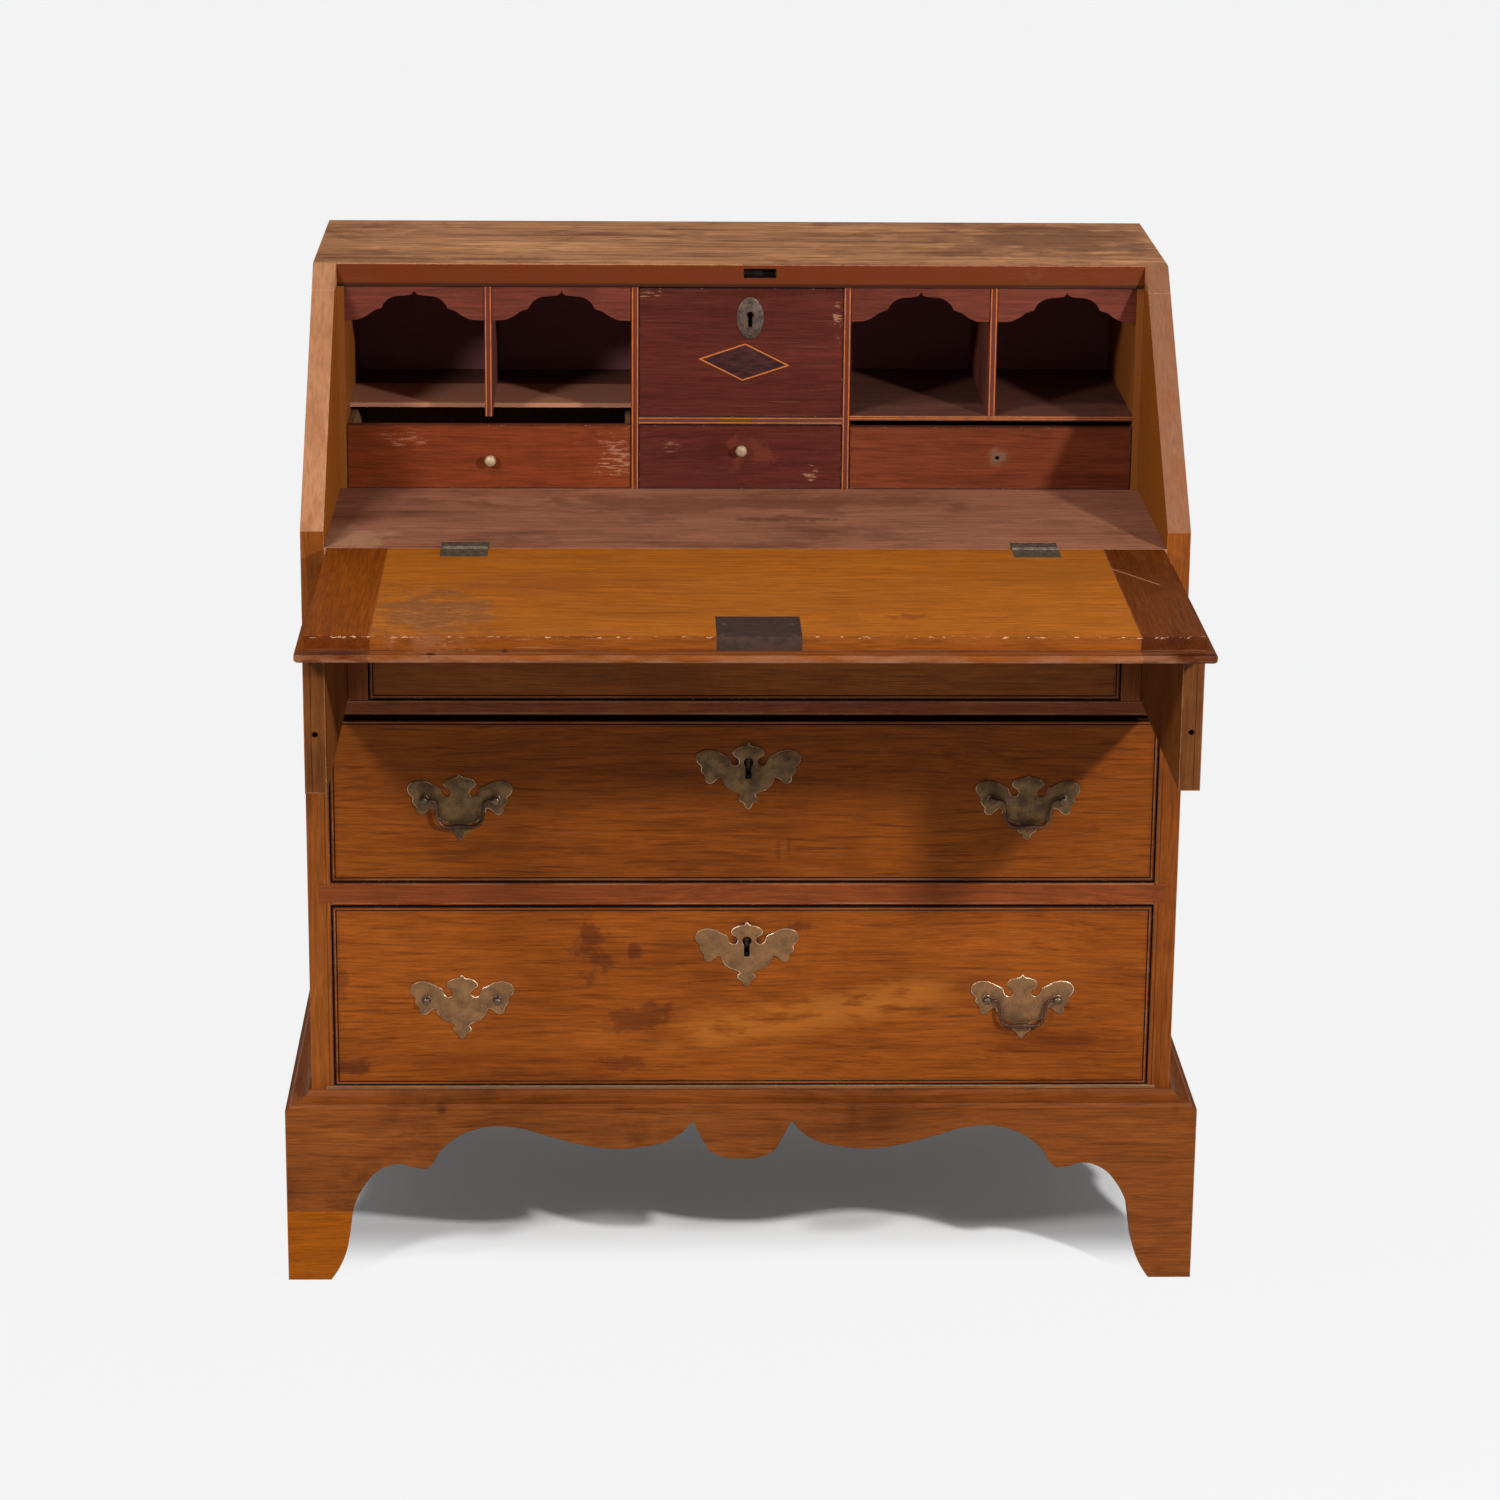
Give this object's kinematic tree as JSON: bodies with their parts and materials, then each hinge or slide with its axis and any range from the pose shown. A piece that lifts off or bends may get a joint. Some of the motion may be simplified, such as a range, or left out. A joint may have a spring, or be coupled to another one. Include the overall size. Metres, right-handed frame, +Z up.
{
  "type": "slant-front desk",
  "caption": "Antique slant-front desk with fall lid on pull-out supports, fitted gallery, dovetailed drawers, batwing brasses and scrolled bracket base.",
  "frame": {"origin": "on the floor, in the middle of the open desk's outline seen from above", "axes": "+Z up, -Y towards the person at the desk, +X to that person's right"},
  "size_m": [0.968, 0.8928, 1.047],
  "materials": {
    "case_wood": "aged orange-brown cherry, oiled, satin",
    "top_wood": "weathered reddish brown board with dark streaks",
    "writing_wood": "dull purple-brown writing surface",
    "lid_wood": "amber board, worn varnish",
    "cleat_wood": "red-brown end boards, worn varnish",
    "base_wood": "orange-brown, satin",
    "patch_wood": "newer plain orange wood, satin",
    "secondary_wood": "raw pine, darkened with age",
    "drawer_wood": "cherry, oiled, satin",
    "gallery_wood": "dark red mahogany, satin",
    "brass": "dull tarnished brass",
    "iron": "dark brown patinated iron",
    "knob_metal": "worn pale brass"
  },
  "bodies": {
    "case": {"left_side": "case_wood", "right_side": "case_wood", "top_board": "top_wood", "writing_board": "writing_wood", "bottom_board": "secondary_wood", "back_boards": "secondary_wood", "rail_upper": "case_wood", "rail_middle": "case_wood", "runners": "secondary_wood", "loper_dividers": "case_wood", "base_front": "base_wood", "base_left": "base_wood", "base_right": "base_wood", "foot_patch": "patch_wood", "rear_brackets": "secondary_wood", "glue_blocks": "secondary_wood", "gallery_uprights": "gallery_wood", "gallery_shelves": "gallery_wood", "valances": "gallery_wood", "case_hinge_leaves": "iron", "hinge_pins": "iron"},
    "lid": {"lid_field": "lid_wood", "lid_cleat_left": "cleat_wood", "lid_cleat_right": "cleat_wood", "lid_lock": "iron", "lid_hinge_leaves": "iron"},
    "left_support": {"loper_left": "case_wood"},
    "right_support": {"loper_right": "case_wood"},
    "top_drawer": {"top_drawer_front": "drawer_wood", "top_drawer_box": "secondary_wood", "top_pull_plates": "brass", "top_posts": "brass", "top_lock_plate": "brass"},
    "top_bail_left": {"top_bail_left": "brass"},
    "top_bail_right": {"top_bail_right": "brass"},
    "upper_drawer": {"upper_drawer_front": "drawer_wood", "upper_drawer_box": "secondary_wood", "upper_pull_plates": "brass", "upper_posts": "brass", "upper_lock_plate": "brass"},
    "upper_bail_left": {"upper_bail_left": "brass"},
    "upper_bail_right": {"upper_bail_right": "brass"},
    "lower_drawer": {"lower_drawer_front": "drawer_wood", "lower_drawer_box": "secondary_wood", "lower_pull_plates": "brass", "lower_posts": "brass", "lower_lock_plate": "brass"},
    "lower_bail_right": {"lower_bail_right": "brass"},
    "left_small_drawer": {"left_small_front": "gallery_wood", "left_small_box": "secondary_wood", "left_knob": "knob_metal"},
    "centre_small_drawer": {"centre_small_front": "gallery_wood", "centre_small_box": "secondary_wood", "centre_knob": "knob_metal"},
    "right_small_drawer": {"right_small_front": "gallery_wood", "right_small_box": "secondary_wood"},
    "prospect_drawer": {"prospect_front": "gallery_wood", "prospect_box": "secondary_wood", "prospect_escutcheon": "brass"}
  },
  "joints": [
    {"name": "lid_hinge", "type": "hinge", "parent": "case", "child": "lid", "pos_m": [0, -0.08364, 0.8], "axis": [-1, 0, 0], "range_deg": [0, 139]},
    {"name": "left_support_slide", "type": "slide", "parent": "case", "child": "left_support", "axis": [0, 1, 0], "range_m": [0, 0.326]},
    {"name": "right_support_slide", "type": "slide", "parent": "case", "child": "right_support", "axis": [0, 1, 0], "range_m": [0, 0.316]},
    {"name": "top_drawer_slide", "type": "slide", "parent": "case", "child": "top_drawer", "axis": [0, -1, 0], "range_m": [0, 0.33]},
    {"name": "top_bail_left_swing", "type": "hinge", "parent": "top_drawer", "child": "top_bail_left", "pos_m": [-0.29661, -0.09063, 0.72298], "axis": [-1, 0, 0], "range_deg": [0, 85]},
    {"name": "top_bail_right_swing", "type": "hinge", "parent": "top_drawer", "child": "top_bail_right", "pos_m": [0.29661, -0.09063, 0.72298], "axis": [-1, 0, 0], "range_deg": [0, 85]},
    {"name": "upper_drawer_slide", "type": "slide", "parent": "case", "child": "upper_drawer", "axis": [0, -1, 0], "range_m": [0, 0.33]},
    {"name": "upper_bail_left_swing", "type": "hinge", "parent": "upper_drawer", "child": "upper_bail_left", "pos_m": [-0.29661, -0.09063, 0.531], "axis": [-1, 0, 0], "range_deg": [0, 85]},
    {"name": "upper_bail_right_swing", "type": "hinge", "parent": "upper_drawer", "child": "upper_bail_right", "pos_m": [0.29661, -0.09063, 0.531], "axis": [-1, 0, 0], "range_deg": [0, 85]},
    {"name": "lower_drawer_slide", "type": "slide", "parent": "case", "child": "lower_drawer", "axis": [0, -1, 0], "range_m": [0, 0.33]},
    {"name": "lower_bail_right_swing", "type": "hinge", "parent": "lower_drawer", "child": "lower_bail_right", "pos_m": [0.29661, -0.09063, 0.30905], "axis": [-1, 0, 0], "range_deg": [0, 85]},
    {"name": "left_small_drawer_slide", "type": "slide", "parent": "case", "child": "left_small_drawer", "axis": [0, 1, 0], "range_m": [-0.16, 0]},
    {"name": "centre_small_drawer_slide", "type": "slide", "parent": "case", "child": "centre_small_drawer", "axis": [0, 1, 0], "range_m": [-0.16, 0]},
    {"name": "right_small_drawer_slide", "type": "slide", "parent": "case", "child": "right_small_drawer", "axis": [0, 1, 0], "range_m": [-0.16, 0]},
    {"name": "prospect_drawer_slide", "type": "slide", "parent": "case", "child": "prospect_drawer", "axis": [0, 1, 0], "range_m": [-0.16, 0]}
  ]
}
